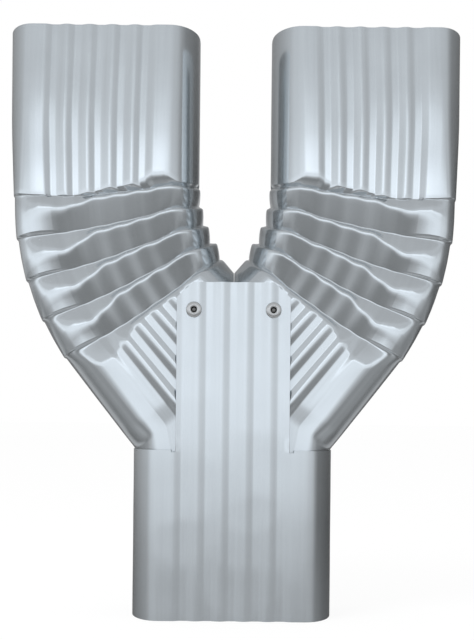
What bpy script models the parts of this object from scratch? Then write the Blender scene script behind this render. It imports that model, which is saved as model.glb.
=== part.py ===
"""Downpipe branch: two crimped 45 degree elbows notched into one straight outlet pipe.

The outlet pipe is a corrugated box tube. Its two wide walls run on upwards as flat tongues, its narrow
walls stop at the shoulder. The elbows enter the pipe mouth between the tongues, meet on the middle plane,
and are held by a blind rivet through each tongue corner. The origin is the middle of the outlet rim.
"""

import math

import bmesh
import bpy
from mathutils import Matrix, Vector

MM = 0.001

# Sheet metal and fits
SHEET = 0.5 * MM
GAP = 0.3 * MM

# Corrugation, the same roll on both wide walls
GROOVES = 5
GROOVE_DEPTH = 1.25 * MM
VALLEY_WIDTH = 2.5 * MM
SLOPE_WIDTH = 1.9 * MM

# Outlet pipe
PIPE_WIDTH = 82.5 * MM
PIPE_DEPTH = 57.0 * MM
PIPE_BORDER = 0.45 * MM
SHOULDER_HEIGHT = 68.8 * MM
TONGUE_TOP = 136.4 * MM
TONGUE_MARGIN = 0.3 * MM
CHAMFER_ACROSS = 6.6 * MM
CHAMFER_UP = 6.1 * MM
RELIEF_WIDTH = 1.8 * MM
RELIEF_DEPTH = 0.9 * MM

# Rounded narrow sides, quarter ellipses beside a short flat
CORNER_ACROSS = 11.7 * MM
SIDE_FLAT = 4.6 * MM
CORNER_STEPS = 5

# Elbows
LEG_SPREAD = 108.4 * MM
INLET_HEIGHT = 240.0 * MM
BEND = math.radians(45.0)
PLEATS = 5
CREASE_HEIGHT = 171.6 * MM
HEEL_DRAW = 2.4 * MM
HEEL_STEP = 17.6 * MM
THROAT_RISE = 4.3 * MM
THROAT_STEP = 8.0 * MM
THROAT_ARCH = 3.7 * MM
LEG_END_RISE = 3.2 * MM
CREASE_DEPTH = 2.4 * MM
FIRST_CREASE_DEPTH = 1.5 * MM
HEEL_SWELL = 0.6 * MM
THROAT_SWELL = 1.1 * MM
CREASE_SAG = 2.0 * MM
GUSSET_HEEL = 8.2 * MM
GUSSET_THROAT = 1.2 * MM
LAST_GUSSET = 10.0 * MM
SLOPE_ROW = 0.45
SLOPE_HOLLOW = 0.35
PLEAT_GROOVE = 0.35
SEAT_LENGTH = 8.0 * MM
TUCK_RISE = 5.5 * MM
TUCK_OUT = 4.6 * MM
LOWER_RUN = 39.0 * MM

# Blind rivets
RIVET_ACROSS = 16.0 * MM
RIVET_DROP = 11.2 * MM
RIVET_DIAMETER = 3.2 * MM
RIVET_BORE = 2.4 * MM
HEAD_DIAMETER = 6.4 * MM
HEAD_HEIGHT = 1.0 * MM
BULB_DIAMETER = 4.8 * MM
BULB_LENGTH = 3.0 * MM
MANDREL_DIAMETER = 1.8 * MM
MANDREL_HEAD = 2.9 * MM
MANDREL_SINK = 0.7 * MM
RIVET_SIDES = 20

# Sizes that follow from those above
STEP_ANGLE = BEND / PLEATS
INSET = GROOVE_DEPTH + SHEET + GAP
ELBOW_WIDTH = PIPE_WIDTH - 2 * INSET
ELBOW_DEPTH = PIPE_DEPTH - 2 * INSET
PIPE_PITCH = (PIPE_WIDTH - 2 * (CORNER_ACROSS + PIPE_BORDER)) / (GROOVES + 1)
ELBOW_PITCH = (ELBOW_WIDTH - 2 * CORNER_ACROSS) / (GROOVES + 1)
HEEL_X = -(LEG_SPREAD + ELBOW_WIDTH) / 2
THROAT_X = -(LEG_SPREAD - ELBOW_WIDTH) / 2
GROOVE_EDGE = VALLEY_WIDTH / 2 + SLOPE_WIDTH
TONGUE_HALF = (GROOVES - 1) / 2 * PIPE_PITCH + GROOVE_EDGE + TONGUE_MARGIN
RIVET_HEIGHT = TONGUE_TOP - RIVET_DROP
RIVET_GRIP = GAP / 2 + INSET + GROOVE_DEPTH + SHEET + GAP
SEAT_X = -(PIPE_WIDTH / 2 - SHEET - GAP)
SEAT_END = SHOULDER_HEIGHT - SEAT_LENGTH


def smooth(start, end, value):
    """A soft step from 0 at start to 1 at end."""
    t = min(max((value - start) / (end - start), 0.0), 1.0)
    return t * t * (3 - 2 * t)


def heading(angle):
    """The way down the left tube where it has turned by angle: straight down at 0, inwards at more."""
    return Vector((math.sin(angle), 0, -math.cos(angle)))


# The cross section

def half_outline(width, depth, pitch):
    """The front half of a section, from the middle of one narrow side to the other.

    Each point is (across, out, normal across, normal out, groove): across runs from 0 to width, out from the
    middle plane to half the depth, and groove is 1 on a valley floor and 0 elsewhere.
    """
    deep = (depth - SIDE_FLAT) / 2
    corner = []
    for i in range(CORNER_STEPS + 1):
        a = math.pi / 2 * i / CORNER_STEPS
        normal = Vector((-math.cos(a) / CORNER_ACROSS, math.sin(a) / deep)).normalized()
        across = CORNER_ACROSS * (1 - math.cos(a))
        corner.append((across, SIDE_FLAT / 2 + deep * math.sin(a), normal.x, normal.y, 0))
    points = [(0, 0, -1, 0, 0)] + corner
    for i in range(GROOVES):
        middle = width / 2 + (i - (GROOVES - 1) / 2) * pitch
        for reach, groove in ((-GROOVE_EDGE, 0), (-VALLEY_WIDTH / 2, 1), (VALLEY_WIDTH / 2, 1), (GROOVE_EDGE, 0)):
            points.append((middle + reach, depth / 2, 0, 1, groove))
    for across, out, normal_across, normal_out, groove in reversed(corner):
        points.append((width - across, out, -normal_across, normal_out, groove))
    points.append((width, 0, 1, 0, 0))
    return points


def whole_outline(width, depth, pitch):
    """The closed section: the front half, then the rear half back to the start. The last value is the side."""
    front = half_outline(width, depth, pitch)
    rear = front[-2:0:-1]
    return [(*point, -1) for point in front] + [(*point, 1) for point in rear]


# The line of each pleat of the left elbow

def heel_point(pleat):
    """Where the crease of a pleat starts on the heel, the outside of the bend. The first pleat is 0."""
    point = Vector((HEEL_X + HEEL_DRAW, 0, CREASE_HEIGHT))
    for i in range(pleat):
        point += HEEL_STEP * heading((i + 0.5) * STEP_ANGLE)
    return point


def throat_point(pleat):
    """Where the crease of a pleat ends at the throat, the inside of the bend."""
    point = Vector((THROAT_X, 0, CREASE_HEIGHT + THROAT_RISE))
    for i in range(pleat):
        point += THROAT_STEP * heading((i + 0.5) * STEP_ANGLE)
    return point


def crease_line(pleat, u, flat):
    """A point on a crease, u of the way from heel to throat.

    The crease sags a little over the first three quarters. flat is 1 on a wide wall and 0 at the middle of
    the throat, where the crease arches up.
    """
    down = heading((pleat + 0.5) * STEP_ANGLE)
    if u < 0.75:
        sag = CREASE_SAG * math.sin(math.pi * u / 0.75)
    else:
        sag = -0.5 * CREASE_SAG * math.sin(math.pi * (u - 0.75) / 0.25)
    arch = THROAT_ARCH * (1 - flat) * smooth(0.8, 1.0, u)
    return heel_point(pleat).lerp(throat_point(pleat), u) + sag * down + Vector((0, 0, arch))


def gusset(pleat, u):
    """The height of the gusset between a crease and its crest: wide at the heel, gone past the middle."""
    if pleat == PLEATS - 1:
        return GUSSET_THROAT + (LAST_GUSSET - GUSSET_THROAT) * (1 - smooth(0.1, 0.95, u))
    tall = GUSSET_HEEL - GUSSET_THROAT
    return GUSSET_THROAT + tall * (0.75 * (1 - smooth(0.2, 0.46, u)) + 0.25 * (1 - smooth(0.2, 0.65, u)))


def crest_line(pleat, u, flat):
    """A point on the crest below a crease."""
    return crease_line(pleat, u, flat) + gusset(pleat, u) * heading((pleat + 0.5) * STEP_ANGLE)


def slope_line(pleat, share):
    """The line that lies a share of the way from a pleat's crest to the next crease."""
    return lambda u, flat: crest_line(pleat, u, flat).lerp(crease_line(pleat + 1, u, flat), share)


def straight_line(heel, throat):
    return lambda u, flat: heel.lerp(throat, u)


def raised(line, height):
    return lambda u, flat: line(u, flat) + Vector((0, 0, height))


def depth_of(amount):
    """The inward depth of a crease: none on the heel, full on the wide walls, part of it at the throat."""
    def profile(u, flat):
        heel = flat ** 1.5
        throat = 0.15 + 0.85 * flat
        return -amount * (heel if u < 0.5 else throat)
    return profile


def crest_swell(u, flat):
    """The outward swell of a crest, strongest where it turns over the heel corner and at the throat."""
    heel = HEEL_SWELL * flat * (1 - smooth(0.12, 0.3, u))
    throat = THROAT_SWELL * smooth(0.75, 0.95, u)
    return heel + throat


def blend_of(first, second, share):
    return lambda u, flat: (1 - share) * first(u, flat) + share * second(u, flat)


def level(u, flat):
    return 0.0


def pleat_rows():
    """The rows of the pleats, downwards: crease, crest and a row in the slope below, for each pleat."""
    rows = []
    slope_depth = blend_of(crest_swell, depth_of(CREASE_DEPTH), SLOPE_HOLLOW)
    for pleat in range(PLEATS):
        depth = depth_of(CREASE_DEPTH if pleat else FIRST_CREASE_DEPTH)
        rows.append((lambda u, flat, k=pleat: crease_line(k, u, flat), depth, PLEAT_GROOVE))
        if pleat < PLEATS - 1:
            rows.append((lambda u, flat, k=pleat: crest_line(k, u, flat), crest_swell, PLEAT_GROOVE))
            rows.append((slope_line(pleat, SLOPE_ROW), slope_depth, PLEAT_GROOVE))
    return rows


def lower_leg_rows():
    """The rows of the lower leg, from its start at the last crest to its end inside the pipe."""
    last = PLEATS - 1
    turn = heading((last + 0.5) * STEP_ANGLE)
    throat = throat_point(last) + GUSSET_THROAT * turn
    tuck = Vector((SEAT_X - TUCK_OUT, 0, SHOULDER_HEIGHT + TUCK_RISE))
    seat = Vector((SEAT_X, 0, SHOULDER_HEIGHT - GAP))
    end = Vector((SEAT_X, 0, SEAT_END - 2 * SHEET))
    run = LOWER_RUN * heading(BEND)
    above = (tuck - crest_line(last, 0, 1)).length
    tuck_share = above / (above + (seat - tuck).length)
    return [
        (lambda u, flat: crest_line(last, u, flat), level, PLEAT_GROOVE),
        (lambda u, flat: crest_line(last, u, flat) + LEG_END_RISE * heading(BEND), level, 1),
        (straight_line(tuck, throat + run * tuck_share), level, 1),
        (straight_line(seat, throat + run), level, 1),
        (straight_line(end, Vector((-SEAT_X, 0, end.z))), level, 1),
    ]


def elbow_rows():
    """The rows of the left elbow, from the inlet rim to below the seat: (line, profile, groove share)."""
    rim = straight_line(Vector((HEEL_X, 0, INLET_HEIGHT)), Vector((THROAT_X, 0, INLET_HEIGHT)))
    leg_end = raised(lambda u, flat: crease_line(0, u, flat), LEG_END_RISE)
    return [(rim, level, 1), (leg_end, level, 1)] + pleat_rows() + lower_leg_rows()


# Mesh helpers

def material(name, colour, roughness, metallic):
    made = bpy.data.materials.new(name)
    made.use_nodes = True
    shader = made.node_tree.nodes["Principled BSDF"]
    shader.inputs["Base Color"].default_value = (*colour, 1)
    shader.inputs["Roughness"].default_value = roughness
    shader.inputs["Metallic"].default_value = metallic
    return made


def new_object(name, bm, finish=None):
    mesh = bpy.data.meshes.new(name)
    bm.to_mesh(mesh)
    bm.free()
    made = bpy.data.objects.new(name, mesh)
    bpy.context.scene.collection.objects.link(made)
    if finish:
        mesh.materials.append(finish)
        mesh.shade_smooth()
        mesh.set_sharp_from_angle(angle=math.radians(30))
    else:
        made.hide_render = True
        made.display_type = "WIRE"
    return made


def tube_from_rows(rows):
    """An open tube: a closed ring of vertices for the first row, extruded once for each row after it."""
    bm = bmesh.new()
    ring = [bm.verts.new(point) for point in rows[0]]
    edges = [bm.edges.new((ring[i - 1], ring[i])) for i in range(1, len(ring))]
    edges.append(bm.edges.new((ring[-1], ring[0])))
    for row in rows[1:]:
        made = bmesh.ops.extrude_edge_only(bm, edges=edges)["geom"]
        edges = [item for item in made if isinstance(item, bmesh.types.BMEdge) and item.is_boundary]
        moved = [item for item in made if isinstance(item, bmesh.types.BMVert)]
        for vert, point in zip(moved, row):
            vert.co = point
    bmesh.ops.recalc_face_normals(bm, faces=bm.faces)
    return bm


def prism(outline, half_length):
    """A prism along Y over an outline in the XZ plane."""
    bm = bmesh.new()
    face = bm.faces.new([bm.verts.new((x, -half_length, z)) for x, z in outline])
    made = bmesh.ops.extrude_face_region(bm, geom=[face])["geom"]
    moved = [item for item in made if isinstance(item, bmesh.types.BMVert)]
    bmesh.ops.translate(bm, vec=(0, 2 * half_length, 0), verts=moved)
    bmesh.ops.recalc_face_normals(bm, faces=bm.faces)
    return bm


def cut(target, cutter):
    modifier = target.modifiers.new(cutter.name, "BOOLEAN")
    modifier.operation = "DIFFERENCE"
    modifier.solver = "EXACT"
    modifier.object = cutter


def thicken(target):
    """The sheet's thickness, added inwards of the modelled outer face."""
    modifier = target.modifiers.new("sheet", "SOLIDIFY")
    modifier.thickness = SHEET
    modifier.offset = -1
    modifier.use_even_offset = True


# The sub-parts

def rivet_hole(side):
    """The cutter for the rivet holes of one side, through the front and the rear walls."""
    bm = bmesh.new()
    radius = RIVET_DIAMETER / 2 + GAP
    bmesh.ops.create_cone(bm, cap_ends=True, segments=RIVET_SIDES, radius1=radius, radius2=radius, depth=2 * PIPE_DEPTH)
    bmesh.ops.rotate(bm, cent=(0, 0, 0), matrix=Matrix.Rotation(math.pi / 2, 3, "X"), verts=bm.verts)
    made = new_object("rivet_hole_cutter", bm)
    made.location = (side * RIVET_ACROSS, 0, RIVET_HEIGHT)
    return made


def shoulder_cutter(side):
    """The cutter that takes away a narrow wall above the shoulder and shapes one edge of the tongues."""
    far = PIPE_WIDTH
    outline = [
        (far, SHOULDER_HEIGHT),
        (TONGUE_HALF + RELIEF_WIDTH, SHOULDER_HEIGHT),
        (TONGUE_HALF + RELIEF_WIDTH, SHOULDER_HEIGHT - RELIEF_DEPTH),
        (TONGUE_HALF, SHOULDER_HEIGHT - RELIEF_DEPTH),
        (TONGUE_HALF, TONGUE_TOP - CHAMFER_UP),
        (TONGUE_HALF - CHAMFER_ACROSS, TONGUE_TOP),
        (TONGUE_HALF - CHAMFER_ACROSS, TONGUE_TOP + CHAMFER_UP),
        (far, TONGUE_TOP + CHAMFER_UP),
    ]
    return new_object("shoulder_cutter", prism([(side * x, z) for x, z in outline], PIPE_DEPTH))


def outlet_pipe(finish, holes):
    outline = whole_outline(PIPE_WIDTH, PIPE_DEPTH, PIPE_PITCH)
    rows = []
    for height in (0, TONGUE_TOP):
        rows.append([
            (across - PIPE_WIDTH / 2, side * (out - groove * GROOVE_DEPTH), height)
            for across, out, _, _, groove, side in outline
        ])
    pipe = new_object("outlet_pipe", tube_from_rows(rows), finish)
    thicken(pipe)
    for side in (-1, 1):
        cut(pipe, shoulder_cutter(side))
    for hole in holes.values():
        cut(pipe, hole)
    return pipe


def trim_cutter(side):
    """The cutter for one elbow: all beyond the middle plane, and all below the seat."""
    wide = PIPE_WIDTH
    low = SEAT_END - 2 * wide
    outline = [
        (-GAP / 2, INLET_HEIGHT),
        (wide, INLET_HEIGHT),
        (wide, low),
        (-wide, low),
        (-wide, SEAT_END),
        (-GAP / 2, SEAT_END),
    ]
    return new_object("trim_cutter", prism([(-side * x, z) for x, z in outline], PIPE_DEPTH))


def elbow(name, side, finish, hole):
    """A crimped elbow. The left one has side -1, and the right one is its mirror image."""
    outline = whole_outline(ELBOW_WIDTH, ELBOW_DEPTH, ELBOW_PITCH)
    rows = []
    for line, profile, share in elbow_rows():
        row = []
        for across, out, normal_across, normal_out, groove, face in outline:
            u = across / ELBOW_WIDTH
            flat = out / (ELBOW_DEPTH / 2)
            along = (line(1, 1) - line(0, 1)).normalized()
            offset = profile(u, flat)
            point = line(u, flat) + normal_across * offset * along
            depth = out + normal_out * offset - groove * share * GROOVE_DEPTH
            row.append((-side * point.x, face * depth, point.z))
        rows.append(row)
    made = new_object(name, tube_from_rows(rows), finish)
    thicken(made)
    cut(made, hole)
    cut(made, trim_cutter(side))
    return made


def turned(profile):
    """A solid of revolution about Z from a closed profile of (radius, height)."""
    bm = bmesh.new()
    verts = [bm.verts.new((radius, 0, height)) for radius, height in profile]
    pairs = [(verts[i - 1], verts[i]) for i in range(len(verts))]
    edges = [bm.edges.new(pair) for pair in pairs if any(vert.co.x > 0 for vert in pair)]
    bmesh.ops.spin(
        bm, geom=edges, cent=(0, 0, 0), axis=(0, 0, 1), angle=2 * math.pi, steps=RIVET_SIDES, use_merge=True
    )
    bmesh.ops.remove_doubles(bm, verts=bm.verts, dist=0.001 * MM)
    bmesh.ops.recalc_face_normals(bm, faces=bm.faces)
    return bm


def place_in_wall(made, across, face):
    """Lays a turned piece, made along Z, into a rivet hole with its head outwards on one wide wall."""
    made.location = (across, face * (PIPE_DEPTH / 2 + GAP / 2), RIVET_HEIGHT)
    made.rotation_euler = (-face * math.pi / 2, 0, 0)


def rivet_body(name, across, face, finish):
    """A blind rivet: domed head outside the tongue, shank through both sheets, bulb behind the elbow's sheet."""
    bore = RIVET_BORE / 2
    shank = RIVET_DIAMETER / 2
    head = HEAD_DIAMETER / 2
    grip = -RIVET_GRIP
    tail = grip - BULB_LENGTH
    profile = [
        (bore, 0.75 * HEAD_HEIGHT),
        (bore + 0.12 * head, 0.97 * HEAD_HEIGHT),
        (0.6 * head, HEAD_HEIGHT),
        (0.85 * head, 0.65 * HEAD_HEIGHT),
        (head, 0.15 * HEAD_HEIGHT),
        (head, 0),
        (shank, 0),
        (shank, grip),
        (BULB_DIAMETER / 2, grip - 0.3 * BULB_LENGTH),
        (BULB_DIAMETER / 2, grip - 0.6 * BULB_LENGTH),
        (shank, tail),
        (bore, tail),
    ]
    made = new_object(name, turned(profile), finish)
    place_in_wall(made, across, face)


def rivet_mandrel(name, across, face, finish):
    """The broken-off pull stem: a stub in the bore with its own head past the tail of the rivet."""
    stem = MANDREL_DIAMETER / 2
    cap = MANDREL_HEAD / 2
    tail = -RIVET_GRIP - BULB_LENGTH - GAP
    top = HEAD_HEIGHT - MANDREL_SINK
    bm = turned([
        (0, top),
        (0.6 * stem, top - 0.1 * stem),
        (stem, top - 0.6 * stem),
        (stem, tail),
        (cap, tail),
        (cap, tail - 0.5 * cap),
        (0.6 * cap, tail - cap),
        (0, tail - cap),
    ])
    made = new_object(name, bm, finish)
    place_in_wall(made, across, face)


def main():
    for item in list(bpy.data.objects):
        bpy.data.objects.remove(item)
    silver = material("silver_coated_aluminium", (0.62, 0.64, 0.65), 0.38, 0.75)
    plain = material("plain_aluminium", (0.60, 0.61, 0.62), 0.35, 0.9)
    steel = material("mandrel_steel", (0.35, 0.35, 0.36), 0.4, 1.0)
    holes = {side: rivet_hole(side) for side in (-1, 1)}
    outlet_pipe(silver, holes)
    elbow("left_elbow", -1, silver, holes[-1])
    elbow("right_elbow", 1, silver, holes[1])
    for face, where in ((-1, "front"), (1, "rear")):
        for side, hand in ((-1, "left"), (1, "right")):
            rivet_body(f"{where}_{hand}_rivet", side * RIVET_ACROSS, face, plain)
            rivet_mandrel(f"{where}_{hand}_mandrel", side * RIVET_ACROSS, face, steel)


main()
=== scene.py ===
"""The downpipe branch as it looks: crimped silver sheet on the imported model.

Two elbows and the outlet pipe are drawn as fine sheet, with rolled grooves, folded pleats and a thin cut
edge. Four blind rivets hold them. A pale floor, a light tent and one soft lamp make the stage.
"""

import math

import bmesh
import bpy
from bpy.props import FloatProperty, FloatVectorProperty, PointerProperty
from mathutils import Matrix, Vector, noise


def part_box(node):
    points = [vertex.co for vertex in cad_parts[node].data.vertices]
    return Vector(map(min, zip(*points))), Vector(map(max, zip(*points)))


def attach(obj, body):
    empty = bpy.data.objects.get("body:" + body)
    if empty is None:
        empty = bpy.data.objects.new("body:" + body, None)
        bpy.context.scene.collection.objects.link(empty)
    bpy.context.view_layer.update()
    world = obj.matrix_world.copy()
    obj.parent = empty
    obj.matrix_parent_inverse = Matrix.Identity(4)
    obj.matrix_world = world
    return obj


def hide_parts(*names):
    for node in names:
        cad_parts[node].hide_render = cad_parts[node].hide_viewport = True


bl_info = {
    "name": "Downpipe branch",
    "version": (1, 0, 0),
    "blender": (4, 5, 0),
    "location": "View3D > Sidebar > Downpipe",
    "description": "Builds the fine sheet, the rivets and the stage of a downpipe branch",
    "category": "Object",
}

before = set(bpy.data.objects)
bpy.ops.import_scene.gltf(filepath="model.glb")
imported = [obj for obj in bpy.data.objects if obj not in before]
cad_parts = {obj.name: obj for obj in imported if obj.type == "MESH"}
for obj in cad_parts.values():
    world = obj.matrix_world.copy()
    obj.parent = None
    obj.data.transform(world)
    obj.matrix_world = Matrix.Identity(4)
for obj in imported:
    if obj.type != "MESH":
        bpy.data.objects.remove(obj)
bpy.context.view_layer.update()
MM = 0.001

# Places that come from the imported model
PIPE_LOW, PIPE_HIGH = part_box("outlet_pipe")
ELBOW_LOW, ELBOW_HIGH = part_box("left_elbow")
PIPE_WIDTH = PIPE_HIGH.x - PIPE_LOW.x
PIPE_DEPTH = PIPE_HIGH.y - PIPE_LOW.y
TONGUE_TOP = PIPE_HIGH.z
INLET_HEIGHT = ELBOW_HIGH.z
SEAT_END = ELBOW_LOW.z

# The sheet and its roll
SHEET = 0.5 * MM
GAP = 0.3 * MM
GROOVES = 5
GROOVE_DEPTH = 1.25 * MM
VALLEY_WIDTH = 2.9 * MM
WALL_WIDTH = 1.6 * MM
KNEE = 0.12 * MM
CORNER_ACROSS = 11.7 * MM
SIDE_FLAT = 4.6 * MM
CORNER_STEPS = 12
SHARP_ANGLE = 50.0
INSET = GROOVE_DEPTH + SHEET + GAP
ELBOW_WIDTH = PIPE_WIDTH - 2 * INSET
ELBOW_DEPTH = PIPE_DEPTH - 2 * INSET
PIPE_BORDER = 0.45 * MM
PIPE_PITCH = (PIPE_WIDTH - 2 * (CORNER_ACROSS + PIPE_BORDER)) / (GROOVES + 1)
ELBOW_PITCH = (ELBOW_WIDTH - 2 * CORNER_ACROSS) / (GROOVES + 1)

# The shoulder and the tongues
PIPE_ROWS = 70
PRESS_RISE = 4.0 * MM
SHOULDER_HEIGHT = 68.8 * MM
TONGUE_HALF = 2 * PIPE_PITCH + 3.45 * MM
CHAMFER_ACROSS = 6.6 * MM
CHAMFER_UP = 6.1 * MM
RELIEF_WIDTH = 1.8 * MM
RELIEF_DEPTH = 0.9 * MM

# The bend and its pleats
LEG_SPREAD = 108.4 * MM
BEND = math.radians(45.0)
PLEATS = 5
STEP_ANGLE = BEND / PLEATS
HEEL_X = -(LEG_SPREAD + ELBOW_WIDTH) / 2
THROAT_X = -(LEG_SPREAD - ELBOW_WIDTH) / 2
CREASE_HEIGHT = 171.6 * MM
HEEL_DRAW = 2.4 * MM
HEEL_STEP = 17.6 * MM
THROAT_RISE = 3.6 * MM
THROAT_STEP = 8.0 * MM
THROAT_ARCH = 3.7 * MM
CREASE_DEPTH = 2.2 * MM
FIRST_CREASE_DEPTH = 1.1 * MM
FIRST_ROLL_IN = 1.0 * MM
HEEL_SWELL = 0.4 * MM
THROAT_SWELL = 0.4 * MM
THROAT_CREASE = 1.0 * MM
CREASE_SAG = 2.0 * MM
GUSSET_HEEL = 8.2 * MM
FIRST_GUSSET_HEEL = 6.0 * MM
GUSSET_THROAT = 0.6 * MM
LAST_GUSSET = 9.2 * MM
LAST_GUSSET_THROAT = 0.8 * MM
PLEAT_GROOVE = 0.18
TUCK_UNDER = 0.1 * MM
LEG_GROOVE = 0.6
SQUARE_CORNER = 4.0
SQUARE_REACH = 30.0 * MM
LEG_DRIFT = 2.4 * MM
BEAD_RISE = 0.25 * MM
BEAD_GUSSET = 1.6 * MM
BEAD_POCKET = 1.4 * MM
SEAT_X = -(PIPE_WIDTH / 2 - SHEET - GAP)
TUCK_RISE = 5.5 * MM
TUCK_OUT = 4.6 * MM
LOWER_RUN = 39.0 * MM

# The rounding of the bends in the sheet
SQUARE_ROUND = 9.0 * MM
LEG_ROUND = 0.35 * MM
HOLLOW_ROUND = 2.6 * MM
SLOPE_ROUND = 2.0 * MM
GUSSET_ROUND = 5.0 * MM
HEEL_ROUND = 4.5 * MM
LAST_ROUND = 1.6 * MM
SEAT_ROUND = 1.5 * MM

# The rivets, with heights from the sheet's outer face, negative inwards
RIVET_ACROSS = 16.0 * MM
RIVET_HEIGHT = TONGUE_TOP - 11.2 * MM
RIVET_SIDES = 48
RIVET_GRIP = -(GAP / 2 + INSET + GROOVE_DEPTH + SHEET + GAP)
RIVET_TAIL = RIVET_GRIP - 3.0 * MM
BULB = 2.4 * MM
STEM_CAP = 1.45 * MM

# The stage
FLOOR_HALF = 30.0
TENT_RADIUS = 6.0
LAMP_PLACE = (-0.5, -0.7, 0.9)
LAMP_AIM = (0, 0, 0.1)
LAMP_ACROSS = 0.5
LENS = 80.1
SENSOR = 36.0
SHIFT_RIGHT = 0.0067
SHIFT_UP = 0.1562
ROLL = math.radians(-0.56)


# Sizes and colours to change

def linear(code):
    """An sRGB hex colour as the linear red, green and blue that the shaders take."""
    shares = [int(code[i:i + 2], 16) / 255 for i in (1, 3, 5)]
    return tuple(s / 12.92 if s <= 0.04045 else ((s + 0.055) / 1.055) ** 2.4 for s in shares)


class SheetSettings(bpy.types.PropertyGroup):
    """The sheet of the elbows and the pipe"""

    crest_round: FloatProperty(
        name="Crest rounding", default=1.7 * MM, unit="LENGTH",
        description="Length of sheet that rounds each side of a crest",
    )
    crease_round: FloatProperty(
        name="Crease rounding", default=0.8 * MM, unit="LENGTH",
        description="Length of sheet that rounds each side of a crease",
    )
    wave: FloatProperty(
        name="Crest wave", default=0.35 * MM, unit="LENGTH",
        description="How far a crest wanders where it crosses a groove",
    )
    wander: FloatProperty(
        name="Pleat wander", default=0.45 * MM, unit="LENGTH",
        description="How far the hand crimper strayed from one pleat to the next",
    )
    dent: FloatProperty(
        name="Sheet unevenness", default=0.07 * MM, unit="LENGTH",
        description="Height of the slow waves that handling leaves in flat sheet",
    )
    coat: FloatVectorProperty(
        name="Coat", default=linear("#D0D6DA"), size=3, min=0, max=1, subtype="COLOR",
        description="Colour of the silver coat",
    )
    edge: FloatVectorProperty(
        name="Cut edge", default=linear("#C4C4C2"), size=3, min=0, max=1, subtype="COLOR",
        description="Colour of the bare cut edge",
    )


class RivetSettings(bpy.types.PropertyGroup):
    """The four blind rivets"""

    shank: FloatProperty(
        name="Shank diameter", default=3.2 * MM, unit="LENGTH",
        description="Diameter of the rivet",
    )
    head: FloatProperty(
        name="Head diameter", default=6.4 * MM, unit="LENGTH",
        description="Diameter of the domed head",
    )
    dome: FloatProperty(
        name="Head height", default=1.0 * MM, unit="LENGTH",
        description="Height of the domed head",
    )
    bore: FloatProperty(
        name="Bore", default=2.4 * MM, unit="LENGTH",
        description="Diameter of the hole that the stem was pulled through",
    )
    stem: FloatProperty(
        name="Stem diameter", default=1.8 * MM, unit="LENGTH",
        description="Diameter of the broken stem",
    )
    metal: FloatVectorProperty(
        name="Rivet", default=linear("#DEDFDF"), size=3, min=0, max=1, subtype="COLOR",
        description="Colour of the plain aluminium",
    )
    steel: FloatVectorProperty(
        name="Stem", default=linear("#8E8D8B"), size=3, min=0, max=1, subtype="COLOR",
        description="Colour of the broken steel stem",
    )


class StageSettings(bpy.types.PropertyGroup):
    """The light and the camera"""

    tent: FloatProperty(
        name="Tent level", default=1.3, min=0,
        description="Brightness of the light tent at its brightest",
    )
    sky: FloatProperty(
        name="Sky level", default=1.0, min=0,
        description="Brightness of the even light on the floor and the coat",
    )
    lamp: FloatProperty(
        name="Lamp power", default=6.0, min=0, subtype="POWER", unit="POWER",
        description="Power of the soft lamp",
    )
    distance: FloatProperty(
        name="Camera distance", default=600 * MM, unit="LENGTH",
        description="From the lens to the middle of the part",
    )
    height: FloatProperty(
        name="Camera height", default=81 * MM, unit="LENGTH",
        description="Height of the lens over the floor",
    )


# Shapes that the sheet pieces share

def smooth(start, end, value):
    """A soft step from 0 at start to 1 at end."""
    t = min(max((value - start) / (end - start), 0.0), 1.0)
    return t * t * (3 - 2 * t)


def heading(angle):
    """The way down the left tube where it has turned by angle."""
    return Vector((math.sin(angle), 0, -math.cos(angle)))


def groove_steps(pitch):
    """Places across one groove and the height there: 0 on a ridge, 1 on the flat floor of the valley."""
    floor = VALLEY_WIDTH / 2
    wall = floor + WALL_WIDTH
    ridge = pitch / 2
    drop = 1 / (WALL_WIDTH + (ridge - wall) / 2)
    knee = 1 - drop * WALL_WIDTH
    half = [(0.0, 1.0), (0.55 * floor, 1.0), (floor - KNEE, 1.0)]
    half += [(floor + down, 1 - drop * down) for down in (KNEE, 0.5 * WALL_WIDTH)]
    for i in range(5):
        left = 1 - i / 5
        half.append((wall + (ridge - wall) * i / 5, knee * left * left))
    return [(-across, groove) for across, groove in reversed(half[1:])] + half


def half_outline(width, depth, pitch):
    """The front half of a section.

    Each point is (across, out, normal across, normal out, rolled groove, faint groove).
    """
    deep = (depth - SIDE_FLAT) / 2
    corner = []
    for i in range(CORNER_STEPS + 1):
        a = math.pi / 2 * i / CORNER_STEPS
        across = CORNER_ACROSS * (1 - math.cos(a))
        out = SIDE_FLAT / 2 + deep * math.sin(a)
        normal = Vector((-math.cos(a) / CORNER_ACROSS, math.sin(a) / deep)).normalized()
        corner.append((across, out, normal.x, normal.y, 0, 0))
    points = [(0, 0, -1, 0, 0, 0), (0, SIDE_FLAT / 4, -1, 0, 0, 0)] + corner
    for i in range(GROOVES):
        middle = width / 2 + (i - (GROOVES - 1) / 2) * pitch
        for across, groove in groove_steps(pitch):
            faint = 0.5 + 0.5 * math.cos(2 * math.pi * across / pitch)
            points.append((middle + across, depth / 2, 0, 1, groove, faint))
        points.append((middle + pitch / 2, depth / 2, 0, 1, 0, 0))
    for across, out, normal_across, normal_out, _, _ in reversed(corner):
        points.append((width - across, out, -normal_across, normal_out, 0, 0))
    return points + [(width, SIDE_FLAT / 4, 1, 0, 0, 0), (width, 0, 1, 0, 0, 0)]


def whole_outline(width, depth, pitch):
    """The closed section, front half and then rear half. The last value is the side, -1 for the front."""
    front = half_outline(width, depth, pitch)
    rear = front[-2:0:-1]
    return [(*point, -1) for point in front] + [(*point, 1) for point in rear]


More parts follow.
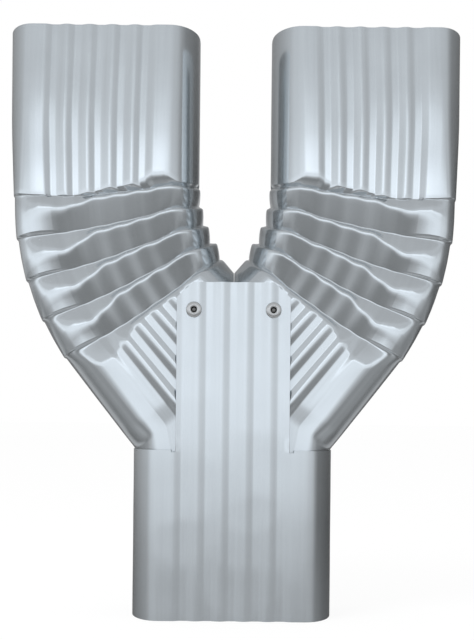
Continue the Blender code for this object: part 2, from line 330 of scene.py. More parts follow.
def squared(across, out, deep):
    """Where a point of the heel's corner lies once the corner is squeezed square. Other points stay."""
    if across >= CORNER_ACROSS or out <= SIDE_FLAT / 2:
        return across, out
    cosine = 1 - across / CORNER_ACROSS
    sine = (out - SIDE_FLAT / 2) / deep
    power = 2 / SQUARE_CORNER
    return CORNER_ACROSS * (1 - cosine ** power), SIDE_FLAT / 2 + deep * sine ** power


def uneven(place, amount):
    """A slow wave of the sheet at a place, from minus to plus amount."""
    return amount * noise.noise(place / (22 * MM))


def tube_from_columns(columns):
    """An open tube from its lines of points down the sheet. Each vertex also keeps its place on the roll."""
    bm = bmesh.new()
    roll = bm.verts.layers.float_vector.new("roll")
    ring = [bm.verts.new(column[0]) for column in columns]
    edges = [bm.edges.new((ring[i - 1], ring[i])) for i in range(1, len(ring))]
    edges.append(bm.edges.new((ring[-1], ring[0])))
    across = [0.0]
    for i in range(1, len(columns)):
        step = (columns[i][0] - columns[i - 1][0]).length
        across.append(across[-1] + (step if columns[i][0].y <= 0 and columns[i - 1][0].y <= 0 else -step))
    along = [0.0] * len(columns)
    for vert, start in zip(ring, across):
        vert[roll] = (start, 0, vert.co.y)
    for row in range(1, len(columns[0])):
        made = bmesh.ops.extrude_edge_only(bm, edges=edges)["geom"]
        edges = [item for item in made if isinstance(item, bmesh.types.BMEdge) and item.is_boundary]
        moved = [item for item in made if isinstance(item, bmesh.types.BMVert)]
        for i, vert in enumerate(moved):
            vert.co = columns[i][row]
            along[i] += (columns[i][row] - columns[i][row - 1]).length
            vert[roll] = (across[i], along[i], vert.co.y)
    bmesh.ops.recalc_face_normals(bm, faces=bm.faces)
    return bm


def cut(bm, point, normal, drop=False):
    """Cuts a skin along a plane. With drop, what lies on the side of the normal goes."""
    skin = [*bm.verts, *bm.edges, *bm.faces]
    bmesh.ops.bisect_plane(bm, geom=skin, dist=0.001 * MM, plane_co=point, plane_no=normal, clear_outer=drop)


def new_piece(name, bm, materials, angle=SHARP_ANGLE):
    """A piece at the origin with its place in its mesh, shaded smooth but for its sharp edges."""
    mesh = bpy.data.meshes.new(name)
    bm.to_mesh(mesh)
    bm.free()
    piece = bpy.data.objects.new(name, mesh)
    bpy.context.scene.collection.objects.link(piece)
    for finish in materials:
        mesh.materials.append(finish)
    mesh.shade_smooth()
    mesh.set_sharp_from_angle(angle=math.radians(angle))
    return piece


def thicken(piece):
    """The sheet's thickness, inwards of the drawn face, with its cut edge in the second material."""
    modifier = piece.modifiers.new("sheet", "SOLIDIFY")
    modifier.thickness = SHEET
    modifier.offset = -1
    modifier.material_offset_rim = 1


def drill(piece, across):
    """The rivet hole through the front and the rear wall of a piece."""
    bm = bmesh.new()
    radius = bpy.context.scene.rivet_settings.shank / 2 + GAP
    bmesh.ops.create_cone(
        bm, cap_ends=True, segments=RIVET_SIDES, radius1=radius, radius2=radius, depth=2 * PIPE_DEPTH
    )
    bmesh.ops.rotate(bm, cent=(0, 0, 0), matrix=Matrix.Rotation(math.pi / 2, 3, "X"), verts=bm.verts)
    bmesh.ops.translate(bm, vec=(across, 0, RIVET_HEIGHT), verts=bm.verts)
    cutter = new_piece("rivet_hole", bm, [])
    modifier = piece.modifiers.new("rivet_hole", "BOOLEAN")
    modifier.operation = "DIFFERENCE"
    modifier.solver = "EXACT"
    modifier.object = cutter
    graph = bpy.context.evaluated_depsgraph_get()
    mesh = bpy.data.meshes.new_from_object(piece.evaluated_get(graph))
    mesh.set_sharp_from_angle(angle=math.radians(SHARP_ANGLE))
    piece.modifiers.clear()
    piece.data = mesh
    bpy.data.objects.remove(cutter)


# The pleats of the left elbow

def heel_point(pleat):
    """Where the crease of a pleat starts on the heel, the outside of the bend. The first pleat is 0."""
    point = Vector((HEEL_X + HEEL_DRAW, 0, CREASE_HEIGHT))
    for i in range(pleat):
        point += HEEL_STEP * heading((i + 0.5) * STEP_ANGLE)
    return point


def throat_point(pleat):
    """Where the crease of a pleat ends at the throat, the inside of the bend."""
    point = Vector((THROAT_X, 0, CREASE_HEIGHT + THROAT_RISE))
    for i in range(pleat):
        point += THROAT_STEP * heading((i + 0.5) * STEP_ANGLE)
    return point


def crease_line(pleat, u, flat):
    """A point on a crease, u of the way from heel to throat. flat is 1 on a wide wall and 0 at mid-depth."""
    down = heading((pleat + 0.5) * STEP_ANGLE)
    if u < 0.75:
        sag = CREASE_SAG * math.sin(math.pi * u / 0.75)
    else:
        sag = -0.5 * CREASE_SAG * math.sin(math.pi * (u - 0.75) / 0.25)
    arch = THROAT_ARCH * (1 - flat) * smooth(0.8, 1.0, u)
    return heel_point(pleat).lerp(throat_point(pleat), u) + sag * down + Vector((0, 0, arch))


def gusset(pleat, u):
    """The height of the gusset between a crease and its crest.

    It spans the whole pleat on the narrow wall of the heel, is wide on the first part of the wide wall and
    gone past the middle.
    """
    if pleat == PLEATS - 1:
        return LAST_GUSSET_THROAT + LAST_GUSSET * smooth(-0.05, 0.17, u) * (1 - smooth(0.15, 0.5, u))
    heel = GUSSET_HEEL if pleat else FIRST_GUSSET_HEEL
    tall = heel - GUSSET_THROAT
    height = GUSSET_THROAT + tall * (0.75 * (1 - smooth(0.2, 0.46, u)) + 0.25 * (1 - smooth(0.2, 0.65, u)))
    height += (BEAD_GUSSET - GUSSET_THROAT) * smooth(0.88, 0.98, u)
    return height + (0.9 * HEEL_STEP - heel) * (1 - smooth(0.0, 0.15, u))


def crest_line(pleat, u, flat):
    """A point on the crest below a crease."""
    return crease_line(pleat, u, flat) + gusset(pleat, u) * heading((pleat + 0.5) * STEP_ANGLE)


def crease_drop(pleat, u, flat):
    """How far a crease lies inwards: little on the heel, full on the wide walls, pocketed at the throat."""
    depth = CREASE_DEPTH if pleat else FIRST_CREASE_DEPTH + FIRST_ROLL_IN * smooth(0.3, 0.5, u)
    if u < 0.5:
        return -depth * flat * (0.4 + 0.6 * smooth(0.05, 0.25, u))
    throat = THROAT_CREASE + BEAD_POCKET * smooth(0.83, 0.87, u) * (1 - smooth(0.9, 0.97, u))
    return -depth - (throat - depth) * smooth(0.78, 0.88, u)


def crest_swell(pleat, u, flat):
    """How far a crest stands out: a little at the heel, and more at the throat from pleat to pleat."""
    if pleat == PLEATS - 1:
        return 0.0
    heel = HEEL_SWELL * flat * (1 - smooth(0.12, 0.3, u))
    return heel + THROAT_SWELL * (1 + pleat) * smooth(0.78, 0.95, u)


# A line down the elbow's sheet is given by its bends. Each bend is (point, outward offset, rolled groove,
# faint groove, squareness, rounding, points in the bend, points after it). The place round the section is u,
# from 0 at the heel to 1 at the throat.

def leg_bends(u, flat):
    """The bends of the inlet leg: its rim, the start of the squared corner, and its foot."""
    rim = Vector((HEEL_X, 0, INLET_HEIGHT)).lerp(Vector((THROAT_X, 0, INLET_HEIGHT)), u)
    hollow = smooth(0.66, 0.8, u) * (1 - smooth(0.83, 0.92, u))
    rise = (0.06 + 2.0 * smooth(0.35, 0.6, u) - 1.0 * smooth(0.86, 0.92, u) + 1.0 * hollow) * MM
    drift = Vector((-LEG_DRIFT * smooth(0.0, 0.16, u) * (1 - smooth(0.84, 1.0, u)), 0, 0))
    foot = crease_line(0, u, flat) + Vector((0, 0, rise)) + drift
    squaring = Vector((rim.x, 0, foot.z + SQUARE_REACH)) + 0.6 * drift
    return [
        (rim + 0.15 * drift, 0.0, 1.0, 0.0, 0.0, 0.0, 1, 5),
        (squaring, 0.0, 1.0, 0.0, 0.0, SQUARE_ROUND, 5, 9),
        (foot, 0.0, 1.0, 0.0, 1.0, LEG_ROUND + HOLLOW_ROUND * hollow, 5, 4),
    ]


def pleat_bends(u, flat, faint, face, settings):
    """The bends of the pleats: each crease, the middle of its gusset, its crest and the slope below it."""
    heel = 1 - smooth(0.14, 0.34, u)
    bead = smooth(0.81, 0.89, u)
    closed = smooth(0.55, 0.7, u)
    upright = 1 - smooth(0.08, 0.26, u)
    tuck = TUCK_UNDER * closed * (1 - bead)
    wave = (faint - 0.5) * settings.wave * smooth(0.14, 0.2, u) * (1 - smooth(0.82, 0.9, u))
    crease_round = settings.crease_round * (1 + 1.2 * upright - 0.8 * closed)
    crest_round = settings.crest_round + HEEL_ROUND * heel
    bends = []
    crest, outward = None, 0.0
    for pleat in range(PLEATS):
        down = heading((pleat + 0.5) * STEP_ANGLE)
        strayed = noise.noise(Vector((7 * u, 3.1 * pleat, 2.3 * face)))
        shift = wave + settings.wander * strayed * flat * (1 - bead)
        inward = crease_drop(pleat, u, flat)
        crease = crease_line(pleat, u, flat) + (0.4 * shift + tuck) * down
        if crest is not None:
            for share, lift in ((0.75 - 0.35 * bead, 1.0), (0.9 - 0.1 * bead, 0.85)):
                offset = outward + (inward - outward) * share * (1 - 0.85 * upright) + lift * BEAD_RISE * bead
                bends.append((crest.lerp(crease, share), offset, 0.0, PLEAT_GROOVE, 0.9, SLOPE_ROUND, 3, 1))
        crest = crest_line(pleat, u, flat) + (shift - tuck) * down
        outward = crest_swell(pleat, u, flat)
        bends.append((crease, inward, 0.0, PLEAT_GROOVE, 0.9, crease_round, 4, 2))
        if pleat < PLEATS - 1:
            swollen = outward + (inward - outward) * (0.5 - 0.4 * heel)
            bends.append((crease.lerp(crest, 0.5), swollen, 0.0, PLEAT_GROOVE, 0.9, GUSSET_ROUND, 3, 1))
            bends.append((crest, outward, 0.0, PLEAT_GROOVE, 0.9, crest_round, 8, 2))
    bends.append((crest_line(PLEATS - 1, u, flat), 0.0, 0.32, 0.0, 0.4, LAST_ROUND, 7, 10))
    return bends


def lower_bends(u, groove):
    """The bends of the lower leg: where it tucks in, its seat in the pipe's mouth and its end inside."""
    last = PLEATS - 1
    throat = throat_point(last) + GUSSET_THROAT * heading((last + 0.5) * STEP_ANGLE)
    run = LOWER_RUN * heading(BEND)
    tuck = Vector((SEAT_X - TUCK_OUT, 0, SHOULDER_HEIGHT + TUCK_RISE))
    seat = Vector((SEAT_X, 0, SHOULDER_HEIGHT - GAP))
    end = Vector((SEAT_X, 0, SEAT_END - 2 * SHEET))
    before = (tuck - crest_line(last, 0, 1)).length
    share = before / (before + (seat - tuck).length)
    pressed = -GROOVE_DEPTH * (1 - groove) * smooth(0.1, 0.2, u) * (1 - smooth(0.265, 0.27, u))
    return [
        (tuck.lerp(throat + run * share, u), LEG_GROOVE * pressed, LEG_GROOVE, 0.0, 0.3, SEAT_ROUND, 4, 2),
        (seat.lerp(throat + run, u), pressed, 1.0, 0.0, 0.0, SEAT_ROUND, 4, 2),
        (end.lerp(Vector((-SEAT_X, 0, end.z)), u), pressed, 1.0, 0.0, 0.0, 0.0, 1, 0),
    ]


def elbow_bends(u, flat, groove, faint, face, settings):
    """All bends of one line down the elbow's sheet."""
    return leg_bends(u, flat) + pleat_bends(u, flat, faint, face, settings) + lower_bends(u, groove)


def rounded(points, roundings, bends, betweens):
    """A line through points with each bend rounded by a short curve, as a list of points."""
    line = []
    for i, point in enumerate(points):
        if bends[i] == 1:
            line.append(point)
        else:
            first, second = (
                point + (other - point).normalized() * min(roundings[i], 0.45 * (other - point).length)
                for other in (points[i - 1], points[i + 1])
            )
            for j in range(bends[i]):
                t = j / (bends[i] - 1)
                line.append(first.lerp(point, t).lerp(point.lerp(second, t), t))
        if i + 1 < len(points):
            after = points[i + 1]
            reach = min(roundings[i + 1], 0.45 * (after - point).length) if bends[i + 1] > 1 else 0.0
            start = line[-1]
            target = after + (point - after).normalized() * reach
            for j in range(1, betweens[i] + 1):
                line.append(start.lerp(target, j / (betweens[i] + 1)))
    return line


def elbow_column(across, out, normal_across, normal_out, groove, faint, face, settings):
    """One line of points down the sheet of the left elbow."""
    square_across, square_out = squared(across, out, (ELBOW_DEPTH - SIDE_FLAT) / 2)
    half = ELBOW_DEPTH / 2
    round_bends = elbow_bends(across / ELBOW_WIDTH, out / half, groove, faint, face, settings)
    square_bends = elbow_bends(square_across / ELBOW_WIDTH, square_out / half, groove, faint, face, settings)
    heel_bends = elbow_bends(0.0, 1.0, 0.0, 0.0, face, settings)
    throat_bends = elbow_bends(1.0, 1.0, 0.0, 0.0, face, settings)
    points = []
    for bend, square, heel, throat in zip(round_bends, square_bends, heel_bends, throat_bends):
        rolled, worn, share = bend[2:5]
        offset = bend[1] + (square[1] - bend[1]) * share
        along = (throat[0] - heel[0]).normalized()
        place = bend[0].lerp(square[0], share) + normal_across * offset * along
        depth = out + (square_out - out) * share + normal_out * offset
        depth -= (groove * rolled + faint * worn) * GROOVE_DEPTH
        points.append(Vector((place.x, face * depth, place.z)))
    line = rounded(points, *([bend[i] for bend in round_bends] for i in (5, 6, 7)))
    outward = Vector((normal_across, face * normal_out, 0))
    return [point + outward * (uneven(point, settings.dent) - settings.dent) for point in line]


def elbow(name, node, side):
    """A fine crimped elbow for a CAD node. Side -1 is the left one, and the right one is its mirror image.

    The two elbows meet on the middle plane, a gap apart at the front and nearly shut at the rear.
    """
    settings = bpy.context.scene.sheet_settings
    outline = whole_outline(ELBOW_WIDTH, ELBOW_DEPTH, ELBOW_PITCH)
    bm = tube_from_columns([elbow_column(*place, settings) for place in outline])
    shut = (GAP / 2 - 0.01 * MM) / ELBOW_DEPTH
    cut(bm, (-GAP / 2, -ELBOW_DEPTH / 2, 0), Vector((1, -shut, 0)).normalized(), drop=True)
    cut(bm, (0, 0, SEAT_END), (0, 0, -1), drop=True)
    if side > 0:
        bmesh.ops.scale(bm, vec=(-1, 1, 1), verts=bm.verts)
        bmesh.ops.reverse_faces(bm, faces=bm.faces)
    piece = new_piece(name, bm, [silver_coat(), bare_edge()])
    thicken(piece)
    drill(piece, side * RIVET_ACROSS)
    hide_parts(node)
    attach(piece, "root")


# Finishes

def add_node(tree, kind, settings, links):
    """Adds one shader node. Settings name its properties or inputs, links name the sockets that feed it."""
    node = tree.nodes.new(kind)
    for key, value in settings.items():
        if isinstance(key, str) and hasattr(node, key):
            setattr(node, key, value)
        else:
            node.inputs[key].default_value = value
    for key, socket in links.items():
        tree.links.new(socket, node.inputs[key])
    return node


def new_material(name):
    """A material with the default node tree, which holds only the shader and the output."""
    made = bpy.data.materials.new(name)
    made.use_nodes = True
    return made, made.node_tree, made.node_tree.nodes["Principled BSDF"]


def silver_coat():
    """Roll-formed aluminium coil with a baked silver coat: satin metal flake under a thin glossy binder."""
    name = "silver_coated_aluminium_coil"
    if name in bpy.data.materials:
        return bpy.data.materials[name]
    made, tree, shader = new_material(name)
    colour = bpy.context.scene.sheet_settings.coat
    dark = [channel * 0.93 for channel in colour]
    roll = add_node(tree, "ShaderNodeAttribute", {"attribute_name": "roll"}, {}).outputs["Vector"]
    # Roller streaks 1.5 mm apart and some 80 mm long
    scale = (1 / (1.5 * MM), 1 / (80 * MM), 1 / (40 * MM))
    stretched = add_node(tree, "ShaderNodeMapping", {"Scale": scale}, {"Vector": roll})
    streaks = add_node(
        tree, "ShaderNodeTexNoise", {"Scale": 1.0, "Detail": 3.0, "Roughness": 0.6},
        {"Vector": stretched.outputs["Vector"]},
    )
    # Cloudy patches of flake, 18 mm across
    patches = add_node(tree, "ShaderNodeTexNoise", {"Scale": 1 / (18 * MM), "Detail": 2.0}, {"Vector": roll})
    both = add_node(
        tree, "ShaderNodeMath", {"operation": "ADD"}, {0: streaks.outputs["Fac"], 1: patches.outputs["Fac"]}
    )
    tone = add_node(
        tree, "ShaderNodeMapRange", {"From Min": 0.6, "From Max": 1.4}, {"Value": both.outputs[0]}
    )
    mixed = add_node(
        tree, "ShaderNodeMix", {"data_type": "RGBA", 6: (*dark, 1), 7: (*colour, 1)},
        {0: tone.outputs["Result"]},
    )
    satin = add_node(
        tree, "ShaderNodeMapRange", {"From Min": 0.6, "From Max": 1.4, "To Min": 0.12, "To Max": 0.15},
        {"Value": both.outputs[0]},
    )
    # Orange peel of the baked coat, 1.2 mm across
    peel = add_node(tree, "ShaderNodeTexNoise", {"Scale": 1 / (1.2 * MM), "Detail": 1.0}, {"Vector": roll})
    bump = add_node(
        tree, "ShaderNodeBump", {"Strength": 0.05, "Distance": 0.02 * MM}, {"Height": peel.outputs["Fac"]}
    )
    tree.links.new(mixed.outputs[2], shader.inputs["Base Color"])
    tree.links.new(satin.outputs["Result"], shader.inputs["Roughness"])
    tree.links.new(bump.outputs["Normal"], shader.inputs["Normal"])
    shader.inputs["Metallic"].default_value = 0.9
    shader.inputs["Coat Weight"].default_value = 0.25
    shader.inputs["Coat Roughness"].default_value = 0.15
    return made


def bare_edge():
    """The sheared edge of the coil: bright bare aluminium with shear lines across it."""
    name = "sheared_aluminium_edge"
    if name in bpy.data.materials:
        return bpy.data.materials[name]
    made, tree, shader = new_material(name)
    place = add_node(tree, "ShaderNodeTexCoord", {}, {}).outputs["Object"]
    # Shear lines 0.4 mm apart
    grain = add_node(tree, "ShaderNodeTexNoise", {"Scale": 1 / (0.4 * MM)}, {"Vector": place})
    rough = add_node(
        tree, "ShaderNodeMapRange", {"To Min": 0.35, "To Max": 0.5}, {"Value": grain.outputs["Fac"]}
    )
    tree.links.new(rough.outputs["Result"], shader.inputs["Roughness"])
    shader.inputs["Base Color"].default_value = (*bpy.context.scene.sheet_settings.edge, 1)
    shader.inputs["Metallic"].default_value = 1.0
    return made


def rivet_metal(name, colour, low, high, grain_size):
    """Plain metal whose dull grain comes from the wire it was headed from."""
    made, tree, shader = new_material(name)
    place = add_node(tree, "ShaderNodeTexCoord", {}, {}).outputs["Object"]
    grain = add_node(tree, "ShaderNodeTexNoise", {"Scale": 1 / grain_size, "Detail": 4.0}, {"Vector": place})
    rough = add_node(
        tree, "ShaderNodeMapRange", {"To Min": low, "To Max": high}, {"Value": grain.outputs["Fac"]}
    )
    bump = add_node(
        tree, "ShaderNodeBump", {"Strength": 0.2, "Distance": 0.02 * MM}, {"Height": grain.outputs["Fac"]}
    )
    tree.links.new(rough.outputs["Result"], shader.inputs["Roughness"])
    tree.links.new(bump.outputs["Normal"], shader.inputs["Normal"])
    shader.inputs["Base Color"].default_value = (*colour, 1)
    shader.inputs["Metallic"].default_value = 1.0
    return made


# The pieces

class BRANCH_OT_elbows(bpy.types.Operator):
    """Draw the two crimped elbows"""
    bl_idname = "branch.elbows"
    bl_label = "Elbows"

    def execute(self, context):
        elbow("left_elbow_sheet", "left_elbow", -1)
        elbow("right_elbow_sheet", "right_elbow", 1)
        return {"FINISHED"}


def beside_tongue(point):
    """Whether a place on the pipe's skin goes: a narrow wall over the shoulder, or a tongue's corner."""
    x = abs(point.x)
    if x > TONGUE_HALF:
        relief = RELIEF_DEPTH if x < TONGUE_HALF + RELIEF_WIDTH else 0
        return point.z > SHOULDER_HEIGHT - relief
    corner = (x - (TONGUE_HALF - CHAMFER_ACROSS)) / CHAMFER_ACROSS
    return point.z > TONGUE_TOP - CHAMFER_UP * corner and corner > 0


def pipe_column(across, out, normal_across, normal_out, groove, face, dent):
    """One line of points up the pipe's sheet. A tongue's outer flats are pressed half as deep as a groove."""
    x = across - PIPE_WIDTH / 2
    outward = Vector((normal_across, face * normal_out, 0))
    outer_flat = 2 * PIPE_PITCH < abs(x) < TONGUE_HALF + 1 * MM
    column = []
    for i in range(PIPE_ROWS + 1):
        z = TONGUE_TOP * i / PIPE_ROWS
        pressed = smooth(SHOULDER_HEIGHT, SHOULDER_HEIGHT + PRESS_RISE, z) if outer_flat else 0
        depth = (groove + 0.5 * (1 - groove) * pressed) * GROOVE_DEPTH
        place = Vector((x, face * (out - depth), z))
        column.append(place - outward * abs(uneven(place, dent)))
    return column


class BRANCH_OT_outlet_pipe(bpy.types.Operator):
    """Draw the outlet pipe with its two tongues"""
    bl_idname = "branch.outlet_pipe"
    bl_label = "Outlet pipe"

    def execute(self, context):
        dent = context.scene.sheet_settings.dent
        columns = []
        for across, out, normal_across, normal_out, groove, _, face in whole_outline(
            PIPE_WIDTH, PIPE_DEPTH, PIPE_PITCH
        ):
            columns.append(pipe_column(across, out, normal_across, normal_out, groove, face, dent))
        bm = tube_from_columns(columns)
        cut(bm, (0, 0, SHOULDER_HEIGHT), (0, 0, 1))
        cut(bm, (0, 0, SHOULDER_HEIGHT - RELIEF_DEPTH), (0, 0, 1))
        for side in (-1, 1):
            cut(bm, (side * TONGUE_HALF, 0, 0), (1, 0, 0))
            cut(bm, (side * (TONGUE_HALF + RELIEF_WIDTH), 0, 0), (1, 0, 0))
            corner = (side * TONGUE_HALF, 0, TONGUE_TOP - CHAMFER_UP)
            cut(bm, corner, Vector((side * CHAMFER_UP, 0, CHAMFER_ACROSS)).normalized())
        gone = [item for item in bm.faces if beside_tongue(item.calc_center_median())]
        bmesh.ops.delete(bm, geom=gone, context="FACES")
        piece = new_piece("outlet_pipe_sheet", bm, [silver_coat(), bare_edge()])
        thicken(piece)
        for side in (-1, 1):
            drill(piece, side * RIVET_ACROSS)
        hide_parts("outlet_pipe")
        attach(piece, "root")
        return {"FINISHED"}


def turned(profile):
    """A solid of revolution about Z from a closed profile of (radius, height)."""
    bm = bmesh.new()
    verts = [bm.verts.new((radius, 0, height)) for radius, height in profile]
    pairs = [(verts[i - 1], verts[i]) for i in range(len(verts))]
    edges = [bm.edges.new(pair) for pair in pairs if any(vert.co.x > 0 for vert in pair)]
    bmesh.ops.spin(
        bm, geom=edges, cent=(0, 0, 0), axis=(0, 0, 1), angle=2 * math.pi, steps=RIVET_SIDES, use_merge=True
    )
    bmesh.ops.remove_doubles(bm, verts=bm.verts, dist=0.001 * MM)
    bmesh.ops.recalc_face_normals(bm, faces=bm.faces)
    return bm


def in_wall(bm, across, face):
    """Lays a turned piece, made along Z, into a rivet hole with its head outwards on one wide wall."""
    bmesh.ops.rotate(bm, cent=(0, 0, 0), matrix=Matrix.Rotation(-face * math.pi / 2, 3, "X"), verts=bm.verts)
    bmesh.ops.translate(bm, vec=(across, face * (PIPE_DEPTH / 2 + GAP / 2), RIVET_HEIGHT), verts=bm.verts)


def rivet_profile(sizes):
    """Half the section of a set rivet as (radius, height): bore lip, dome, shank and bulb."""
    bore, shank, head, dome = sizes.bore / 2, sizes.shank / 2, sizes.head / 2, sizes.dome
    body = [(bore, 0.55 * dome), (bore + 0.02 * head, 0.8 * dome), (bore + 0.09 * head, 0.94 * dome)]
    for i in range(9):
        a = math.pi / 2 * i / 8
        body.append((0.52 * head + 0.48 * head * math.sin(a), dome * (0.12 + 0.88 * math.cos(a))))
    body += [(head, 0.03 * dome), (0.97 * head, 0), (shank, 0), (shank, RIVET_GRIP)]
    body += [(BULB, RIVET_GRIP - 0.9 * MM), (BULB, RIVET_GRIP - 1.8 * MM)]
    return body + [(shank, RIVET_TAIL), (bore, RIVET_TAIL)]


def stem_profile(sizes):
    """Half the section of the stem as (radius, height): torn end, pin and the cap behind the bulb."""
    stem, dome = sizes.stem / 2, sizes.dome
    top = 0.35 * dome
    end = RIVET_TAIL - GAP
    pin = [(0, top), (0.35 * stem, top + 0.05 * dome), (0.7 * stem, top - 0.04 * dome)]
    pin += [(0.92 * stem, top - 0.2 * dome), (stem, top - 0.4 * dome), (stem, end), (STEM_CAP, end)]
    pin += [(STEM_CAP, end - 0.5 * STEM_CAP), (0.6 * STEM_CAP, end - STEM_CAP), (0, end - STEM_CAP)]
    return pin


class BRANCH_OT_rivets(bpy.types.Operator):
    """Draw the four blind rivets and the stems left in them"""
    bl_idname = "branch.rivets"
    bl_label = "Rivets"

    def execute(self, context):
        sizes = context.scene.rivet_settings
        # Wire grain 0.8 mm across in the headed aluminium, and 0.25 mm in the torn steel
        plain = rivet_metal("plain_rivet_aluminium", sizes.metal, 0.3, 0.45, 0.8 * MM)
        steel = rivet_metal("broken_steel_stem", sizes.steel, 0.4, 0.6, 0.25 * MM)
        parts = (
            ("rivet", "rivet_aluminium", rivet_profile(sizes), plain),
            ("mandrel", "mandrel_steel", stem_profile(sizes), steel),
        )
        for face, where in ((-1, "front"), (1, "rear")):
            for side, hand in ((-1, "left"), (1, "right")):
                for part, slot, profile, finish in parts:
                    bm = turned(profile)
                    in_wall(bm, side * RIVET_ACROSS, face)
                    node = f"{where}_{hand}_{part}"
                    piece = new_piece(f"{node}_turned", bm, [finish], angle=35.0)
                    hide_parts(node)
                    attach(piece, "root")
        return {"FINISHED"}


# The stage

def ramp(tree, stops, value, interpolation="LINEAR"):
    """A grey ramp through (place, level) stops, read at a value from 0 to 1."""
    node = add_node(tree, "ShaderNodeValToRGB", {}, {0: value})
    node.color_ramp.interpolation = interpolation
    elements = node.color_ramp.elements
    while len(elements) > 1:
        elements.remove(elements[-1])
    for i, (place, level) in enumerate(stops):
        element = elements[0] if i == 0 else elements.new(place)
        element.position = place
        element.color = (level, level, level, 1)
    return node.outputs["Color"]


# The tent's light in layers. Each has its level by height, the angle over the horizon in degrees, and its
# share by side, the angle from the camera, negative to its left.
TENT_LAYERS = (
    # The floor in front of the part, with the dark foot of the tent behind it
    (((-90, 0.34), (-50, 0.28), (-30, 0.19), (-22, 0.16), (-14, 0.18), (-10, 0.17), (-6, 0.07), (-4, 0.0)),
     ((-180, 0.40), (-150, 0.50), (-120, 0.75), (-90, 1.00), (-60, 1.40), (-40, 1.40), (-25, 1.25), (-8, 1.0),
      (4, 0.93), (20, 1.0), (35, 1.3), (50, 1.4), (75, 1.1), (105, 1.0), (130, 0.5), (180, 0.4))),
    # The bright band from the tent's foot up
    (((-14, 0.0), (-10, 0.12), (-6, 0.35), (-4, 0.55), (-1, 0.77), (1.5, 0.95), (4.5, 0.92), (8, 0.83),
      (10.5, 0.80), (11.2, 0.70), (12.3, 0.50), (16, 0.25), (30, 0.0)),
     ((-180, 0.45), (-170, 0.30), (-160, 0.22), (-140, 0.34), (-125, 0.42), (-110, 0.50), (-90, 0.58),
      (-75, 0.80), (-60, 0.95), (0, 0.98), (15, 0.92), (32, 0.80), (50, 0.74), (66, 0.62), (75, 0.42),
      (83, 0.30), (97, 0.16), (112, 0.14), (129, 0.11), (155, 0.08), (165, 0.17), (172, 0.40), (180, 0.50))),
    # The strip over the band, straight behind the camera
    (((7.8, 0.0), (9.4, 0.38), (10.6, 0.70), (12.2, 0.75), (13.4, 0.0)),
     ((-40, 0.0), (-16, 0.25), (-10, 0.55), (-5.5, 1.0), (0, 1.0), (5, 0.8), (18, 0.6), (40, 0.0))),
    # The floor behind the part
    (((-31, 0.0), (-22, 0.26), (-14, 0.28), (-10.5, 0.0)),
     ((-180, 1.0), (-140, 0.95), (-110, 0.5), (-85, 0.0), (85, 0.0), (115, 0.2), (145, 0.85), (180, 1.0))),
    # The dim upper walls and roof
    (((11.5, 0.0), (12.3, 0.11), (16, 0.28), (24, 0.44), (60, 0.42), (90, 0.40)),
     ((-180, 0.45), (-150, 0.55), (-120, 0.75), (-90, 0.95), (-20, 1.0), (10, 0.93), (55, 1.0), (80, 0.85),
      (105, 0.50), (150, 0.32), (180, 0.50))),
)


def tent_material(level):
    """White cloth lit from outside: brightest behind the camera, and dim to its right and behind the part."""
    made = bpy.data.materials.new("lit_tent_cloth")
    made.use_nodes = True
    tree = made.node_tree
    tree.nodes.clear()
    place = add_node(tree, "ShaderNodeTexCoord", {}, {}).outputs["Object"]
    way = add_node(tree, "ShaderNodeVectorMath", {"operation": "NORMALIZE"}, {0: place}).outputs["Vector"]
    x, y, z = add_node(tree, "ShaderNodeSeparateXYZ", {}, {0: way}).outputs
    rise = add_node(tree, "ShaderNodeMath", {"operation": "ARCSINE"}, {0: z}).outputs[0]
    height = add_node(
        tree, "ShaderNodeMath", {"operation": "MULTIPLY_ADD", 1: 1 / math.pi, 2: 0.5}, {0: rise}
    ).outputs[0]
    back = add_node(tree, "ShaderNodeMath", {"operation": "MULTIPLY", 1: -1.0}, {0: y}).outputs[0]
    turn = add_node(tree, "ShaderNodeMath", {"operation": "ARCTAN2"}, {0: x, 1: back}).outputs[0]
    side = add_node(
        tree, "ShaderNodeMath", {"operation": "MULTIPLY_ADD", 1: 0.5 / math.pi, 2: 0.5}, {0: turn}
    ).outputs[0]
    total = None
    for heights, sides in TENT_LAYERS:
        by_height = ramp(tree, [(0.5 + angle / 180, shade) for angle, shade in heights], height)
        by_side = ramp(tree, [(0.5 + angle / 360, shade) for angle, shade in sides], side)
        links = {0: by_height, 1: by_side, 2: total} if total else {0: by_height, 1: by_side}
        total = add_node(tree, "ShaderNodeMath", {"operation": "MULTIPLY_ADD", 2: 0.0}, links).outputs[0]
    power = add_node(tree, "ShaderNodeMath", {"operation": "MULTIPLY", 1: level}, {0: total})
    # The brighter the cloth, the cooler
    cool = {"data_type": "RGBA", 6: (1, 1, 1, 1), 7: (0.95, 1, 1.06, 1)}
    tint = add_node(tree, "ShaderNodeMix", cool, {0: total})
    light = add_node(
        tree, "ShaderNodeEmission", {}, {"Color": tint.outputs[2], "Strength": power.outputs[0]}
    )
    add_node(tree, "ShaderNodeOutputMaterial", {}, {"Surface": light.outputs[0]})
    return made


def seen_directly(tree):
    """1 for the camera, and for what is mirrored or seen through something clear."""
    path = add_node(tree, "ShaderNodeLightPath", {}, {}).outputs
    larger = {"operation": "MAXIMUM"}
    mirrored = add_node(tree, "ShaderNodeMath", larger, {0: path["Is Camera Ray"], 1: path["Is Glossy Ray"]})
    clear = add_node(tree, "ShaderNodeMath", larger, {0: mirrored.outputs[0], 1: path["Is Transmission Ray"]})
    return clear.outputs[0]


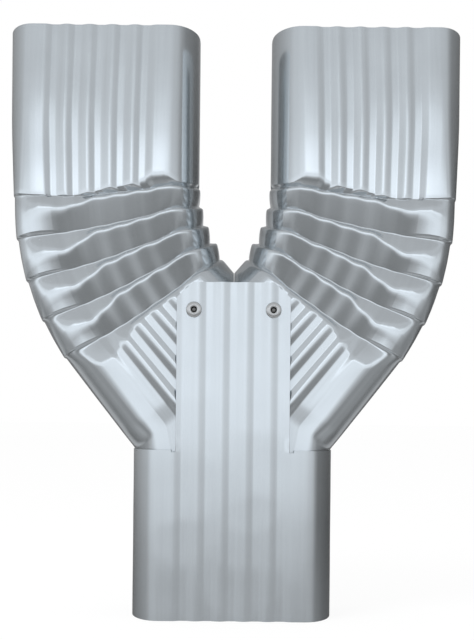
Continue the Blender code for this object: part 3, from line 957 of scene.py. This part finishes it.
def floor_material():
    """Smooth white paper that keeps a pale shadow of the part."""
    made, tree, shader = new_material("white_paper")
    shader.inputs["Base Color"].default_value = (*linear("#F6F6F6"), 1)
    shader.inputs["Roughness"].default_value = 0.9
    shader.inputs["Specular IOR Level"].default_value = 0.1
    white = add_node(tree, "ShaderNodeEmission", {"Strength": 1.0}, {})
    share = add_node(tree, "ShaderNodeMath", {"operation": "MULTIPLY", 1: 0.9}, {0: seen_directly(tree)})
    mixed = add_node(
        tree, "ShaderNodeMixShader", {}, {0: share.outputs[0], 1: shader.outputs[0], 2: white.outputs[0]}
    )
    tree.links.new(mixed.outputs[0], tree.nodes["Material Output"].inputs["Surface"])
    return made


class BRANCH_OT_stage(bpy.types.Operator):
    """Set the floor, the light tent, the lamp and the camera"""
    bl_idname = "branch.stage"
    bl_label = "Stage"

    def execute(self, context):
        scene = context.scene
        settings = scene.stage_settings
        scene.view_settings.view_transform = "Standard"

        bm = bmesh.new()
        bmesh.ops.create_grid(bm, x_segments=1, y_segments=1, size=FLOOR_HALF)
        floor = new_piece("floor", bm, [floor_material()])
        floor.visible_glossy = False

        bm = bmesh.new()
        bmesh.ops.create_uvsphere(bm, u_segments=64, v_segments=32, radius=TENT_RADIUS)
        bmesh.ops.reverse_faces(bm, faces=bm.faces)
        tent = new_piece("light_tent", bm, [tent_material(settings.tent)])
        tent.visible_camera = False
        tent.visible_diffuse = False
        tent.visible_shadow = False
        tent.visible_transmission = False

        world = bpy.data.worlds.new("white_surround")
        scene.world = world
        world.use_nodes = True
        tree = world.node_tree
        background = tree.nodes["Background"]
        background.inputs["Color"].default_value = (1, 1, 1, 1)
        levels = {"To Min": settings.sky, "To Max": 1.0}
        strength = add_node(tree, "ShaderNodeMapRange", levels, {"Value": seen_directly(tree)})
        tree.links.new(strength.outputs["Result"], background.inputs["Strength"])

        light = bpy.data.lights.new("soft_lamp", "AREA")
        light.shape = "DISK"
        light.size = LAMP_ACROSS
        light.energy = settings.lamp
        lamp = bpy.data.objects.new("soft_lamp", light)
        scene.collection.objects.link(lamp)
        lamp.location = LAMP_PLACE
        lamp.rotation_euler = (Vector(LAMP_AIM) - lamp.location).to_track_quat("-Z", "Y").to_euler()
        lamp.visible_glossy = False

        optics = bpy.data.cameras.new("camera")
        optics.sensor_width = SENSOR
        optics.lens = LENS
        optics.shift_x = SHIFT_RIGHT
        optics.shift_y = SHIFT_UP
        camera = bpy.data.objects.new("camera", optics)
        scene.collection.objects.link(camera)
        camera.location = (0, -settings.distance, settings.height)
        camera.rotation_euler = (math.radians(90), ROLL, 0)
        scene.camera = camera
        return {"FINISHED"}


class BRANCH_PT_panel(bpy.types.Panel):
    """The branch's pieces in the sidebar of the 3D view"""
    bl_idname = "BRANCH_PT_panel"
    bl_label = "Downpipe branch"
    bl_space_type = "VIEW_3D"
    bl_region_type = "UI"
    bl_category = "Downpipe"

    def draw(self, context):
        for step in STEPS:
            self.layout.operator(step.bl_idname)
        for group, made in SETTINGS.items():
            column = self.layout.column(align=True)
            for name in made.__annotations__:
                column.prop(getattr(context.scene, group), name)


SETTINGS = {
    "sheet_settings": SheetSettings,
    "rivet_settings": RivetSettings,
    "stage_settings": StageSettings,
}
STEPS = (BRANCH_OT_outlet_pipe, BRANCH_OT_elbows, BRANCH_OT_rivets, BRANCH_OT_stage)


def register():
    for made in (*SETTINGS.values(), *STEPS, BRANCH_PT_panel):
        bpy.utils.register_class(made)
    for name, group in SETTINGS.items():
        setattr(bpy.types.Scene, name, PointerProperty(type=group))


def unregister():
    for name in SETTINGS:
        delattr(bpy.types.Scene, name)
    for made in reversed((*SETTINGS.values(), *STEPS, BRANCH_PT_panel)):
        bpy.utils.unregister_class(made)


def main():
    register()
    bpy.ops.branch.outlet_pipe()
    bpy.ops.branch.elbows()
    bpy.ops.branch.rivets()
    bpy.ops.branch.stage()


if __name__ == "__main__":
    main()
